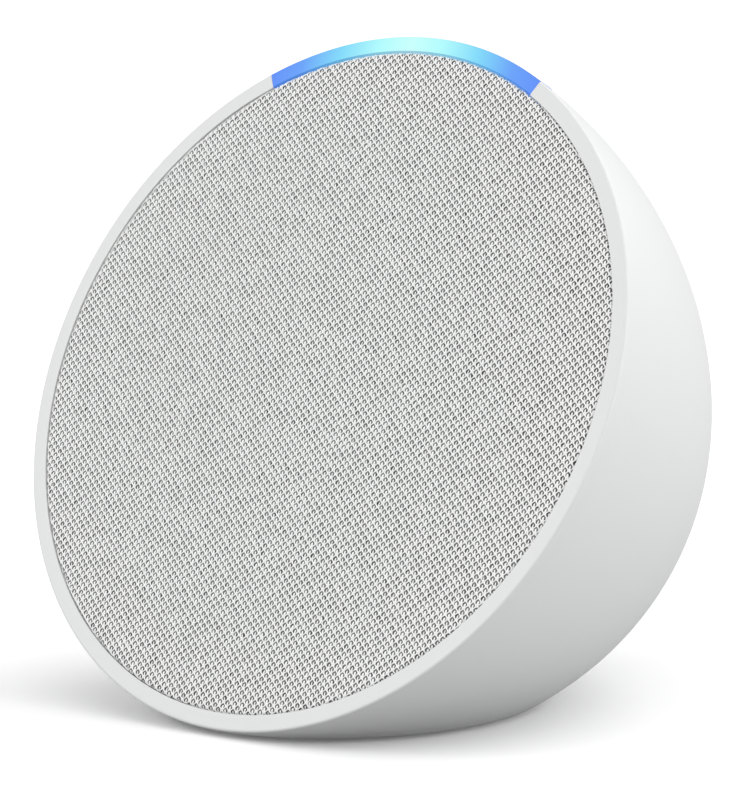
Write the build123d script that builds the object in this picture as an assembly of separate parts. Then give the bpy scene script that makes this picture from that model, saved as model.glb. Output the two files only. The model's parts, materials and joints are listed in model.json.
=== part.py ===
# A small smart speaker: a round fabric face tilted back in the open end of a half-round shell.
# World frame: +Z up, the face looks along -Y and upwards, +X is to the right of someone facing it.
# Most pieces are drawn in the face frame: its Z axis points out of the face, its Y axis up the face,
# and a depth is the distance behind the front of the rim. Bearings are degrees clockwise from the top.
from build123d import *
from math import asin, atan2, cos, degrees, radians, sin
import os

# overall form
RIM_RADIUS = 49.4
WALL = 2.3
FACE_TILT = 24.6
FACE_HEIGHT = 46.0
SHELL_DEPTH = 66.44
FLANK_RADIUS = 72.8
RIM_EDGE = 0.3
BASE_HEIGHT = 0.6
FLOOR_TOP = 2.8

# foot and ballast
FOOT_CENTRE = -11.5
FOOT_SEMI = (19.5, 25.5)
FOOT_RECESS = 0.8
BALLAST_CENTRE = -9.0
BALLAST_SEMI = (15.0, 18.0)
BALLAST_THICKNESS = 2.0
BALLAST_SCREW_PITCH = (19.8, 20.9)
BALLAST_SCREW_TIP = 1.8

# grille
GRILLE_POCKET = 3.7
FABRIC_RADIUS = 46.85
FABRIC_FRONT = 0.3
FABRIC_THICKNESS = 0.5
FABRIC_SKIRT = 3.3
FABRIC_EDGE = 0.4
GRILLE_BACK = 2.65
GRILLE_HOLE = 1.35
GRILLE_PITCH = 4.3
GRILLE_FIELD = 39.0
GRILLE_ROWS = 25
GASKET_INNER = 42.0
GASKET_BACK = 3.65
GASKET_INSET = 0.3

# baffle and acoustic chamber
BAFFLE_RADIUS = 45.8
BAFFLE_FRONT = 8.6
BAFFLE_BACK = 11.0
BAFFLE_LIP = 2.8
BAFFLE_LIP_GAP = 2.0
BAFFLE_SCREW_RADIUS = 41.2
BAFFLE_SCREW_BEARINGS = (50, 110, 155, 205, 250, 310)
BAFFLE_BOSS = 2.5
BAFFLE_BOSS_LENGTH = 9.0
BAFFLE_HOLE_DEPTH = 6.5
LEDGE_INNER = 42.4
LEDGE_BACK = 13.0
CUP_FLANGE = 38.0
CUP_FRONT = 11.8
CUP_MOUTH = 34.0
CUP_BACK = 36.0
CUP_BACK_RADIUS = 27.5
CUP_WALL = 1.8
CUP_FLANGE_THICKNESS = 2.0
CUP_BEVEL = (3.0, 3.7)
CUP_SCREW_RADIUS = 36.2
CUP_SCREW_BEARINGS = range(30, 360, 60)

# driver
DRIVER_BEARINGS = (45, 135, 225, 315)
DRIVER_HOLE = 24.4
DRIVER_FRONT = 6.2
FLANGE_RADIUS = 27.0
FLANGE_THICKNESS = 1.8
EAR_RADIUS = 27.6
EAR_SIZE = 2.4
BASKET_RADIUS = 24.0
BASKET_WALL = 1.2
BASKET_FLOOR = 1.0
SHELF_MARGIN = 1.0
SHELF_THICKNESS = 0.9
SEAT_RADIUS = 11.2
WINDOW_WIDTH = 11.0
WINDOW_BEARINGS = range(30, 360, 60)
MOTOR_FRONT = 17.6
MOTOR_RADIUS = 16.0
TOP_PLATE_THICKNESS = 3.0
MAGNET_THICKNESS = 8.0
MAGNET_INNER = 8.8
MAGNET_RADIUS = 17.2
BACK_PLATE_THICKNESS = 3.0
POLE_RADIUS = 6.2
GAP_RADIUS = 7.2
FORMER_RADIUS = 6.5
FORMER_WALL = 0.15
FORMER_LAP = 2.0
FORMER_TAIL = 2.6
COIL_WALL = 0.25
COIL_HALF_LENGTH = 2.6
CONE_RADIUS = 18.6
CONE_FRONT = 6.25
CONE_BACK = 12.6
CONE_LAND = (1.4, 1.2)
CONE_LAND_THICKNESS = 0.38
CONE_NECK = (0.6, 0.8)
SURROUND_SEAT = 22.2
SURROUND_ROLL = 1.75
SURROUND_WALL = 0.35
SURROUND_LAP = 0.9
CAP_RADIUS = 9.0
CAP_RISE = 2.3
CAP_WALL = 0.35
CAP_SINK = 0.9
SPIDER_DEPTH = 15.2
SPIDER_RADIUS = 14.4
SPIDER_RIM = 0.8
SPIDER_WALL = 0.25
SPIDER_WAVES = 3
SPIDER_CREST = 0.45
SPIDER_COLLAR = 0.8
SPIDER_LANDING = 2.2
TERMINAL_DEPTH = 12.6
TERMINAL_SPACING = 1.6
TERMINAL_BAR = (19.6, 4.6, 1.2)
TERMINAL_TAG = (22.4, 2.6, 1.6, 0.5)

# light bar
LIGHT_HALF_ANGLE = 28.7
LIGHT_DEPTH = 3.0
LIGHT_STEM_BACK = 6.2
LIGHT_STEM = (46.1, 48.5)
LIGHT_LIP_FRONT = 4.2
LIGHT_BOARD_ANGLE = 33.0
LIGHT_BOARD = (43.2, 46.2)
LIGHT_BOARD_BACK = 8.5
LIGHT_BOARD_THICKNESS = 0.9
LED_COUNT = 9
LED_INSET = 3.0
LED_SIZE = (1.6, 1.6, 0.9)
LED_RADIUS = 45.3
REFLECTOR_INNER = 43.5
REFLECTOR_OUTER = 46.0
REFLECTOR_FRONT = 4.0
REFLECTOR_WALL = 0.7

# controls on top of the shell
CONTROL_DEPTH = 19.0
BUTTON_BEARINGS = {"volume_down": -14.0, "mic_off": 0.0, "volume_up": 14.0}
BUTTON_RADIUS = 3.6
BUTTON_PROUD = 0.25
BUTTON_GAP = 0.15
BUTTON_FLANGE = 4.4
FLANGE_TOP = -2.85
FLANGE_BOTTOM = -3.6
SYMBOL_DEPTH = 0.2
SYMBOL_STROKE = 0.5
SYMBOL_SIZE = 2.8
SYMBOL_CUTTER = 2.0
MIC_CAPSULE = (1.9, 0.9, 0.45)
MIC_STAND = (0.35, 0.7, -1.0)
MIC_FOOT = (1.3, 0.3, -1.4)
MIC_STROKE = (3.6, 0.3)
PLUNGER_RADIUS = 0.9
PLUNGER_TIP = -4.9
PLUNGER_WELL = -5.5
SWITCH_SIZE = 3.2
SWITCH_TOP = -4.6
CONTROL_BOARD_TOP = -5.8
CONTROL_BOARD_THICKNESS = 0.8
CONTROL_BOARD_WIDTH = 7.0
CONTROL_BOARD_ANGLE = 29.5
MIC_BEARINGS = (-21.5, 21.5)
MIC_HOLE = 0.5
MIC_SIZE = (2.9, 2.0, 1.0)
MIC_SEAL = 1.0
POST_BEARINGS = (-27.0, 27.0)
POST_RADIUS = 1.5
POST_HOLE_TOP = -2.6
POST_SCREW_TIP = -3.5

# main board
BOARD_FRONT = 40.0
BOARD_THICKNESS = 1.6
BOARD_RADIUS = 29.0
BOARD_CHORD = -24.0
BOARD_SCREW_RADIUS = 26.0
BOARD_SCREW_BEARINGS = (40, 140, 220, 320)
BOARD_BOSS = 2.5
BOARD_HOLE_DEPTH = 5.5
CHIPS = (  # across, up, width, height and rise
    (0, 12, 11, 11, 1.4),
    (-19, 3, 6, 8, 1.2),
    (19, 3, 7, 7, 1.4),
    (-11, -16, 5, 5, 1.0),
    (11, -15, 8, 5, 1.6),
    (21, -8, 4, 4, 3.0),
)
CAPACITOR_SPOTS = ((-21, -8), (-15, -8))
CAPACITOR_SIZE = (2.4, 5.2)
COOLER_HEIGHT = 12.0
SHIELD_SIZE = (22.0, 18.0, 2.2)
SHIELD_WALL = 0.3
PAD_SIZE = (16.0, 12.0, 0.8)
SINK_SIZE = (26.0, 20.0, 1.5)
FIN_COUNT = 8
FIN_THICKNESS = 1.1
FIN_HEIGHT = 3.6
ANTENNA_GAP = 0.05
ANTENNA_THICKNESS = 0.3
ANTENNA_ANGLES = (0.24, 0.46)
ANTENNA_WIDTH = 22.0

# wiring: a route is a list of radius and depth; a connector is its width, height and front depth
LIGHT_CABLE_ROUTE = ((44.9, 8.5), (44.9, 13.5), (40.0, 27.0), (30.5, 35.5), (23.0, 37.2), (23.0, 38.9))
LIGHT_CABLE_BEARING = 32.0
LIGHT_CABLE_RADIUS = 0.6
LIGHT_CABLE_BEND = 1.2
LIGHT_CONNECTOR = (3.4, 2.6, 38.9)
SPEAKER_WIRE_ROUTE = ((23.0, 13.4), (25.5, 19.0), (24.0, 28.0), (20.0, 33.0), (20.0, 38.4))
SPEAKER_WIRE_BEARINGS = (86, 94)
SPEAKER_WIRE_RADIUS = 0.55
SPEAKER_WIRE_BEND = 2.0
SPEAKER_CONNECTOR = (5.6, 3.0, 38.4)
RIBBON_ROUTE = ((40.0, 20.8), (38.6, 26.6), (33.5, 34.0), (27.0, 37.0), (27.0, 38.4))
RIBBON_SIZE = (6.0, 0.3)
RIBBON_BEND = 0.6
RIBBON_CONNECTOR = (8.0, 2.4, 38.4)
TINSEL_ROUTE = ((7.4, 13.6), (12.5, 14.1), (17.3, 12.6))
TINSEL_RADIUS = 0.28
TINSEL_BEND = 3.0
POWER_WIRE_ROUTE = ((8.2, 41.6), (8.2, 45.5), (9.6, 48.9))
POWER_WIRE_RADIUS = 0.6
POWER_WIRE_BEND = 1.5
POWER_WIRE_SPACING = 2.2

# power inlet, a 4.0 mm barrel with a 1.65 mm centre pin
INLET_HEIGHT = 17.5
WELL_RADIUS = 5.5
WELL_FLOOR = 33.6
WELL_WALL = 1.8
JACK_NOSE = 4.0
JACK_SIZE = (9.0, 9.0)
JACK_LENGTH = 11.0
BARREL_RADIUS = 2.1
BARREL_DEPTH = 9.5
PIN_RADIUS = 0.825
PIN_SETBACK = 0.8
PIN_ROOT = 1.2
PIN_ROOT_LENGTH = 2.0
SPRING_SETBACK = 5.5
SPRING_SIZE = (1.2, 5.8, 0.4)
SPRING_DROP = 0.75
SPRING_SLOT = (1.4, 6.0, 1.4)
SPRING_SLOT_DROP = 0.4

# screws: head radius, head height, shank radius and shank length
BAFFLE_SCREW = (1.7, 1.3, 0.85, 7.4)
CHAMBER_SCREW = (1.5, 1.2, 0.75, 4.2)
DRIVER_SCREW = (1.7, 1.0, 0.75, 3.6)
BOARD_SCREW = (1.8, 1.1, 0.85, 6.4)
BALLAST_SCREW = (1.6, 0.9, 0.65)
POST_SCREW = (1.2, 0.8, 0.5)
SLOT_WIDTH = 0.4

CLEARANCE = 0.1
HOLE_EASE = 0.2  # how much wider a hole is than the screw or wire through it
BLIND = 0.5  # what a blind hole leaves uncut
OVER = 1.0  # how far a cutting tool runs past what it cuts

# the shell's outline: a flank arc that runs tangent into a nose arc centred on the face axis
FLANK_OFFSET = FLANK_RADIUS - RIM_RADIUS
EXCESS = FLANK_RADIUS - SHELL_DEPTH
NOSE_DEPTH = (FLANK_OFFSET**2 - EXCESS**2) / (2 * EXCESS)
NOSE_RADIUS = SHELL_DEPTH - NOSE_DEPTH
NOSE_ANGLE = atan2(FLANK_OFFSET, NOSE_DEPTH)
FLANK_ANGLE = atan2(NOSE_DEPTH, FLANK_OFFSET)

# the face stands so that the whole speaker is centred on the origin, front to back
TILT = radians(FACE_TILT)
FRONT_REACH = RIM_RADIUS * sin(TILT)
BACK_REACH = NOSE_DEPTH * cos(TILT) + NOSE_RADIUS
FACE_Y = (FRONT_REACH - BACK_REACH) / 2
FACE = Plane(
    origin=(0, FACE_Y, FACE_HEIGHT), x_dir=(1, 0, 0), z_dir=(0, -cos(TILT), sin(TILT))
).location


# a point of the flank arc, in radius and depth, at an angle behind the rim
def flank_point(inset, angle):
    radius = FLANK_RADIUS - inset
    return radius * cos(angle) - FLANK_OFFSET, -radius * sin(angle)


# a point of the nose arc, in radius and depth, at an angle from the face axis
def nose_point(inset, angle):
    radius = NOSE_RADIUS - inset
    return radius * sin(angle), -NOSE_DEPTH - radius * cos(angle)


# the half-round solid inside the shell's outer surface moved inwards by inset
def dome(inset):
    nose = [nose_point(inset, NOSE_ANGLE * part) for part in (0, 0.5, 1)]
    flank = [flank_point(inset, FLANK_ANGLE * part) for part in (1, 0.5, 0)]
    ends = [Line(flank[2], (0, 0)), Line((0, 0), nose[0])]
    outline = [ThreePointArc(*nose), ThreePointArc(*flank)] + ends
    return revolve(make_face(Plane.XZ * Curve(outline)), Axis.Z)


# a body turned about the face axis from corners given as radius and depth
def turned(*corners):
    outline = Polyline(*[(radius, -depth) for radius, depth in corners], close=True)
    return revolve(make_face(Plane.XZ * outline), Axis.Z)


# the same, but only the stretch within half_angle of the top
def turned_arc(half_angle, *corners):
    outline = Polyline(*[(radius, -depth) for radius, depth in corners], close=True)
    stretch = revolve(make_face(Plane.XZ * outline), Axis.Z, revolution_arc=2 * half_angle)
    return Rot(0, 0, 90 - half_angle) * stretch


def ring(inner, outer, front, back):
    return turned((inner, front), (outer, front), (outer, back), (inner, back))


def ring_arc(half_angle, inner, outer, front, back):
    return turned_arc(half_angle, (inner, front), (outer, front), (outer, back), (inner, back))


def disc(radius, front, back):
    return Pos(0, 0, -(front + back) / 2) * Cylinder(radius, back - front)


# the location, in the face frame, at a radius and bearing, with Z along the face axis
def at(radius, bearing):
    angle = radians(bearing)
    return Pos(radius * sin(angle), radius * cos(angle), 0) * Rot(0, 0, -bearing)


def at_each(radius, bearings, shape):
    return Part() + [at(radius, bearing) * shape for bearing in bearings]


def block(width, height, front, back):
    return Pos(0, 0, -(front + back) / 2) * Box(width, height, back - front)


# everything lower than a height above the table, in the face frame
def below(height):
    size = 4 * SHELL_DEPTH
    return FACE.inverse() * Pos(0, 0, height - size / 2) * Box(size, size, size)


# a pan-head screw along the face axis: its head stands on a surface at depth seat, and its tip is deeper,
# or shallower if it is flipped
def screw(size, seat, flipped=False):
    head_radius, head, shank_radius, length = size
    slot = Box(head_radius * 1.2, SLOT_WIDTH, head / 2)
    body = Pos(0, 0, head / 2) * Cylinder(head_radius, head)
    body += Pos(0, 0, -length / 2) * Cylinder(shank_radius, length)
    body -= Pos(0, 0, head * 0.75) * (slot + Rot(0, 0, 90) * slot)
    return Pos(0, 0, -seat) * Rot(180 if flipped else 0, 0, 0) * body


# clear holes for a kind of screw, right through a piece between two depths
def screw_holes(size, radius, bearings, front, back):
    return at_each(radius, bearings, disc(size[2] + HOLE_EASE, front - OVER, back + OVER))


def light_cable_hole(front, back):
    hole = disc(LIGHT_CABLE_RADIUS + HOLE_EASE, front - OVER, back + OVER)
    return at(LIGHT_CABLE_ROUTE[0][0], LIGHT_CABLE_BEARING) * hole


# a round wire in the half-plane at a bearing, through points given as radius and depth
def wire(bearing, points, radius, bend):
    path = Plane.XZ * FilletPolyline(*[(across, -depth) for across, depth in points], radius=bend)
    section = Plane(origin=path @ 0, z_dir=path % 0) * Circle(radius)
    return Rot(0, 0, 90 - bearing) * sweep(section, path)


# a location on the shell's outer surface, Z outwards, at a bearing and the controls' depth
def control(bearing):
    lean = asin(CONTROL_DEPTH / FLANK_RADIUS)
    radius, height = flank_point(0, lean)
    across, up = sin(radians(bearing)), cos(radians(bearing))
    return Plane(
        origin=(radius * across, radius * up, height),
        x_dir=(up, -across, 0),
        z_dir=(cos(lean) * across, cos(lean) * up, -sin(lean)),
    ).location


# a band of constant thickness under the shell's surface at the controls, within half_angle of the top
def control_band(half_angle, top, bottom, half_width):
    lean = asin(CONTROL_DEPTH / FLANK_RADIUS)
    radius, height = flank_point(0, lean)
    corners = []
    for level, side in ((top, -1), (top, 1), (bottom, 1), (bottom, -1)):
        across = radius + level * cos(lean) - side * half_width * sin(lean)
        depth = -height + level * sin(lean) + side * half_width * cos(lean)
        corners.append((across, depth))
    return turned_arc(half_angle, *corners)


def upright(radius, bottom, top):
    return Pos(0, 0, (bottom + top) / 2) * Cylinder(radius, top - bottom)


def foot_oval(centre, semi, bottom, top):
    return Pos(0, centre, bottom) * extrude(Ellipse(*semi), top - bottom)


# a round bar along +Y at the inlet, between two stations of Y
def along_y(radius, start, end):
    return Pos(0, (start + end) / 2, INLET_HEIGHT) * Rot(90, 0, 0) * Cylinder(radius, end - start)


# ---- housing ----
def light_notch():
    half_angle = LIGHT_HALF_ANGLE + CLEARANCE
    inner = RIM_RADIUS - 2 * WALL
    stem_outer, stem_back = LIGHT_STEM[1] + CLEARANCE, LIGHT_STEM_BACK + CLEARANCE
    bar = ring_arc(half_angle, inner, RIM_RADIUS + OVER, -OVER, LIGHT_DEPTH + CLEARANCE / 2)
    return bar + ring_arc(half_angle, inner, stem_outer, LIGHT_DEPTH - OVER, stem_back)


# round posts or cutters square to the shell's wall where the controls are
def at_controls(bearings, radius, bottom, top):
    return Part() + [control(bearing) * upright(radius, bottom, top) for bearing in bearings]


def rear_shell():
    outside = dome(0)
    rim_edge = outside.edges().filter_by(GeomType.CIRCLE).sort_by(Axis.Z)[-1]
    outside = fillet(rim_edge, RIM_EDGE)
    pocket = disc(RIM_RADIUS - WALL, -OVER, GRILLE_POCKET)
    hollow = dome(WALL) - below(FLOOR_TOP)
    shell = outside - below(BASE_HEIGHT) - hollow - pocket
    board_back = BOARD_FRONT + BOARD_THICKNESS
    inside = ring(LEDGE_INNER, RIM_RADIUS, BAFFLE_BACK, LEDGE_BACK)
    baffle_boss = disc(BAFFLE_BOSS, BAFFLE_BACK, BAFFLE_BACK + BAFFLE_BOSS_LENGTH)
    inside += at_each(BAFFLE_SCREW_RADIUS, BAFFLE_SCREW_BEARINGS, baffle_boss)
    inside += at_each(BOARD_SCREW_RADIUS, BOARD_SCREW_BEARINGS, disc(BOARD_BOSS, board_back, SHELL_DEPTH))
    inside += at_controls(POST_BEARINGS, POST_RADIUS, CONTROL_BOARD_TOP, -WALL / 2)
    shell += (inside & dome(WALL / 2)) - below(BASE_HEIGHT)
    baffle_hole = disc(BAFFLE_SCREW[2], BAFFLE_BACK - OVER, BAFFLE_BACK + BAFFLE_HOLE_DEPTH)
    shell -= at_each(BAFFLE_SCREW_RADIUS, BAFFLE_SCREW_BEARINGS, baffle_hole)
    board_hole = disc(BOARD_SCREW[2], board_back - OVER, board_back + BOARD_HOLE_DEPTH)
    shell -= at_each(BOARD_SCREW_RADIUS, BOARD_SCREW_BEARINGS, board_hole)
    shell -= light_notch() + light_cable_hole(BAFFLE_BACK, LEDGE_BACK)
    shell -= at_controls(BUTTON_BEARINGS.values(), BUTTON_RADIUS + BUTTON_GAP, CONTROL_BOARD_TOP, OVER)
    shell -= at_controls(MIC_BEARINGS, MIC_HOLE, CONTROL_BOARD_TOP, OVER)
    shell -= at_controls(POST_BEARINGS, POST_SCREW[2], CONTROL_BOARD_TOP - OVER, POST_HOLE_TOP)
    return add_foot_recess(add_inlet_well(FACE * shell))


# the plug well and its floor, which the shell wall carries round the power inlet
def add_inlet_well(shell):
    inner_end = WELL_FLOOR - WELL_WALL
    past_shell = SHELL_DEPTH
    shell = shell + (along_y(WELL_RADIUS + WELL_WALL, inner_end, past_shell) & (FACE * dome(WALL / 2)))
    shell -= along_y(WELL_RADIUS, WELL_FLOOR, past_shell)
    return shell - along_y(JACK_NOSE + CLEARANCE, inner_end - OVER, WELL_FLOOR + OVER)


def add_foot_recess(shell):
    semi = [size + CLEARANCE for size in FOOT_SEMI]
    shell = shell - foot_oval(FOOT_CENTRE, semi, -OVER, BASE_HEIGHT + FOOT_RECESS)
    hole = upright(BALLAST_SCREW[2] + CLEARANCE / 2, BALLAST_SCREW_TIP - CLEARANCE, FLOOR_TOP + OVER)
    return shell - ballast_places(hole)


def ballast_places(shape):
    spots = GridLocations(*BALLAST_SCREW_PITCH, 2, 2)
    return Part() + [Pos(0, BALLAST_CENTRE, 0) * spot * shape for spot in spots]


def foot_pad():
    return foot_oval(FOOT_CENTRE, FOOT_SEMI, 0, BASE_HEIGHT + FOOT_RECESS)


def ballast_plate():
    top = FLOOR_TOP + BALLAST_THICKNESS
    plate = foot_oval(BALLAST_CENTRE, BALLAST_SEMI, FLOOR_TOP, top)
    return plate - ballast_places(upright(BALLAST_SCREW[2] + HOLE_EASE, FLOOR_TOP - OVER, top + OVER))


def ballast_screws():
    top = FLOOR_TOP + BALLAST_THICKNESS
    head_radius, head, shank_radius = BALLAST_SCREW
    one = upright(head_radius, top, top + head) + upright(shank_radius, BALLAST_SCREW_TIP, top)
    return ballast_places(one)


# ---- light bar ----
def light_bar_diffuser():
    inner = RIM_RADIUS - WALL + CLEARANCE / 2
    bar = ring_arc(LIGHT_HALF_ANGLE, inner, RIM_RADIUS, 0, LIGHT_DEPTH)
    outer_edges = bar.edges().filter_by(GeomType.CIRCLE).group_by(Axis.Z)[-1].sort_by(SortBy.RADIUS)
    bar = fillet(outer_edges[-1], RIM_EDGE)
    stem = ring_arc(LIGHT_HALF_ANGLE, inner, LIGHT_STEM[1], LIGHT_DEPTH, LIGHT_STEM_BACK)
    lip = ring_arc(LIGHT_HALF_ANGLE, LIGHT_STEM[0], inner, LIGHT_LIP_FRONT, LIGHT_STEM_BACK)
    return FACE * (bar + stem + lip)


def led_bearings():
    end = LIGHT_HALF_ANGLE - LED_INSET
    return [end * (2 * index / (LED_COUNT - 1) - 1) for index in range(LED_COUNT)]


def light_bar_reflector():
    front, back = REFLECTOR_FRONT, LIGHT_BOARD_BACK - LIGHT_BOARD_THICKNESS
    lid_start = REFLECTOR_INNER + REFLECTOR_WALL
    wall = ring_arc(LIGHT_BOARD_ANGLE, REFLECTOR_INNER, lid_start, front, back)
    lid = ring_arc(LIGHT_BOARD_ANGLE, lid_start, REFLECTOR_OUTER, front, front + REFLECTOR_WALL)
    return FACE * (wall + lid)


def light_bar_board():
    front = LIGHT_BOARD_BACK - LIGHT_BOARD_THICKNESS
    return FACE * ring_arc(LIGHT_BOARD_ANGLE, *LIGHT_BOARD, front, LIGHT_BOARD_BACK)


def light_bar_leds():
    back = LIGHT_BOARD_BACK - LIGHT_BOARD_THICKNESS
    led = block(LED_SIZE[0], LED_SIZE[1], back - LED_SIZE[2], back)
    return FACE * at_each(LED_RADIUS, led_bearings(), led)


def light_cable():
    return FACE * wire(LIGHT_CABLE_BEARING, LIGHT_CABLE_ROUTE, LIGHT_CABLE_RADIUS, LIGHT_CABLE_BEND)


# ---- grille ----
def grille_fabric():
    back = FABRIC_FRONT + FABRIC_THICKNESS
    inner = FABRIC_RADIUS - FABRIC_THICKNESS
    cloth = turned(
        (0, FABRIC_FRONT), (FABRIC_RADIUS, FABRIC_FRONT), (FABRIC_RADIUS, FABRIC_SKIRT),
        (inner, FABRIC_SKIRT), (inner, back), (0, back),
    )
    front_edge = cloth.edges().filter_by(GeomType.CIRCLE).group_by(Axis.Z)[-1]
    return FACE * fillet(front_edge, FABRIC_EDGE)


def grille_plate():
    field = Sketch() + [
        spot * Circle(GRILLE_HOLE)
        for spot in HexLocations(GRILLE_PITCH / 2, GRILLE_ROWS, GRILLE_ROWS)
        if spot.position.length < GRILLE_FIELD
    ]
    front = FABRIC_FRONT + FABRIC_THICKNESS
    plate = disc(FABRIC_RADIUS - FABRIC_THICKNESS - CLEARANCE / 2, front, GRILLE_BACK)
    return FACE * (plate - Pos(0, 0, -GRILLE_BACK - OVER) * extrude(field, GRILLE_BACK + OVER))


def grille_gasket():
    outer = FABRIC_RADIUS - FABRIC_THICKNESS - GASKET_INSET
    return FACE * ring(GASKET_INNER, outer, GRILLE_BACK, GASKET_BACK)


# ---- baffle and chamber ----
def baffle():
    body = ring(DRIVER_HOLE, BAFFLE_RADIUS, BAFFLE_FRONT, BAFFLE_BACK)
    body += ring(BAFFLE_RADIUS - BAFFLE_LIP, BAFFLE_RADIUS, GASKET_BACK, BAFFLE_FRONT)
    gap_angle, gap_inner = LIGHT_BOARD_ANGLE + BAFFLE_LIP_GAP, BAFFLE_RADIUS - 2 * BAFFLE_LIP
    body -= ring_arc(gap_angle, gap_inner, BAFFLE_RADIUS + OVER, 0, BAFFLE_FRONT - CLEARANCE)
    body -= below(FLOOR_TOP + CLEARANCE)
    body -= screw_holes(BAFFLE_SCREW, BAFFLE_SCREW_RADIUS, BAFFLE_SCREW_BEARINGS, BAFFLE_FRONT, BAFFLE_BACK)
    driver_hole = disc(DRIVER_SCREW[2], BAFFLE_FRONT - OVER, BAFFLE_BACK - BLIND)
    body -= at_each(EAR_RADIUS, DRIVER_BEARINGS, driver_hole)
    chamber_hole = disc(CHAMBER_SCREW[2], BAFFLE_FRONT + BLIND, BAFFLE_BACK + OVER)
    body -= at_each(CUP_SCREW_RADIUS, CUP_SCREW_BEARINGS, chamber_hole)
    return FACE * (body - light_cable_hole(BAFFLE_FRONT, BAFFLE_BACK))


def baffle_screws():
    return FACE * at_each(BAFFLE_SCREW_RADIUS, BAFFLE_SCREW_BEARINGS, screw(BAFFLE_SCREW, BAFFLE_FRONT))


def chamber_gasket():
    seal = ring(CUP_MOUTH - CUP_WALL, CUP_FLANGE, BAFFLE_BACK, CUP_FRONT)
    seal -= screw_holes(CHAMBER_SCREW, CUP_SCREW_RADIUS, CUP_SCREW_BEARINGS, BAFFLE_BACK, CUP_FRONT)
    return FACE * seal


def chamber_cup():
    flange_back = CUP_FRONT + CUP_FLANGE_THICKNESS
    inner_mouth, inner_back = CUP_MOUTH - CUP_WALL, CUP_BACK_RADIUS - CUP_WALL
    bevel, inner_bevel = CUP_BEVEL
    cup = turned(
        (CUP_FLANGE, CUP_FRONT), (CUP_FLANGE, flange_back), (CUP_MOUTH, flange_back),
        (CUP_BACK_RADIUS, CUP_BACK - bevel), (CUP_BACK_RADIUS - bevel, CUP_BACK), (0, CUP_BACK),
        (0, CUP_BACK - CUP_WALL), (CUP_BACK_RADIUS - inner_bevel, CUP_BACK - CUP_WALL),
        (inner_back, CUP_BACK - inner_bevel), (inner_mouth, flange_back), (inner_mouth, CUP_FRONT),
    )
    cup -= screw_holes(CHAMBER_SCREW, CUP_SCREW_RADIUS, CUP_SCREW_BEARINGS, CUP_FRONT, flange_back)
    wire_hole = disc(SPEAKER_WIRE_RADIUS + HOLE_EASE, CUP_BACK - 2 * CUP_WALL, CUP_BACK + OVER)
    return FACE * (cup - at_each(SPEAKER_WIRE_ROUTE[-1][0], SPEAKER_WIRE_BEARINGS, wire_hole))


def chamber_screws():
    one = screw(CHAMBER_SCREW, CUP_FRONT + CUP_FLANGE_THICKNESS, flipped=True)
    return FACE * at_each(CUP_SCREW_RADIUS, CUP_SCREW_BEARINGS, one)


# ---- driver ----
# a flange with an ear at each screw, between two depths
def eared_flange(inner, front, back):
    flange = ring(inner, FLANGE_RADIUS, front, back)
    flange += at_each(EAR_RADIUS, DRIVER_BEARINGS, disc(EAR_SIZE, front, back))
    return flange - screw_holes(DRIVER_SCREW, EAR_RADIUS, DRIVER_BEARINGS, front, back)


def driver_gasket():
    return FACE * eared_flange(DRIVER_HOLE, DRIVER_FRONT + FLANGE_THICKNESS, BAFFLE_FRONT)


# pressed steel: a flange, a slanting wall with six windows, a spider shelf and a seat for the motor
def driver_basket():
    front, back = DRIVER_FRONT, DRIVER_FRONT + FLANGE_THICKNESS
    inner = SPIDER_RADIUS + SHELF_MARGIN
    outer = inner + BASKET_WALL
    shelf, shelf_back = SPIDER_RADIUS - BASKET_WALL, SPIDER_DEPTH + SHELF_THICKNESS
    floor = MOTOR_FRONT - BASKET_FLOOR
    wall = turned(
        (SURROUND_SEAT, front), (BASKET_RADIUS, front), (BASKET_RADIUS, back), (outer, SPIDER_DEPTH),
        (outer, MOTOR_FRONT), (SEAT_RADIUS, MOTOR_FRONT), (SEAT_RADIUS, floor), (inner, floor),
        (inner, shelf_back), (shelf, shelf_back), (shelf, SPIDER_DEPTH), (inner, SPIDER_DEPTH),
        (inner, SPIDER_DEPTH - BASKET_WALL / 2), (SURROUND_SEAT, back),
    )
    window = block(WINDOW_WIDTH, 2 * MOTOR_RADIUS, back + BASKET_WALL / 2, SPIDER_DEPTH - BASKET_WALL)
    wall -= at_each(BASKET_RADIUS, WINDOW_BEARINGS, window)
    return FACE * (eared_flange(SURROUND_SEAT, front, back) + wall)


def driver_screws():
    return FACE * at_each(EAR_RADIUS, DRIVER_BEARINGS, screw(DRIVER_SCREW, DRIVER_FRONT))


# a bar across one window, with two solder tags outside it
def driver_terminals():
    bar_place, bar_width, bar_thickness = TERMINAL_BAR
    tag_place, tag_length, tag_width, tag_thickness = TERMINAL_TAG
    bar = Pos(bar_place, 0, -TERMINAL_DEPTH) * Box(bar_width, WINDOW_WIDTH, bar_thickness)
    for side in (-TERMINAL_SPACING, TERMINAL_SPACING):
        bar += Pos(tag_place, side, -TERMINAL_DEPTH) * Box(tag_length, tag_width, tag_thickness)
    return FACE * bar


def top_plate():
    return FACE * ring(GAP_RADIUS, MOTOR_RADIUS, MOTOR_FRONT, MOTOR_FRONT + TOP_PLATE_THICKNESS)


def magnet():
    front = MOTOR_FRONT + TOP_PLATE_THICKNESS
    return FACE * ring(MAGNET_INNER, MAGNET_RADIUS, front, front + MAGNET_THICKNESS)


def back_plate():
    front = MOTOR_FRONT + TOP_PLATE_THICKNESS + MAGNET_THICKNESS
    plate = disc(MOTOR_RADIUS, front, front + BACK_PLATE_THICKNESS)
    return FACE * (plate + disc(POLE_RADIUS, MOTOR_FRONT, front))


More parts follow.
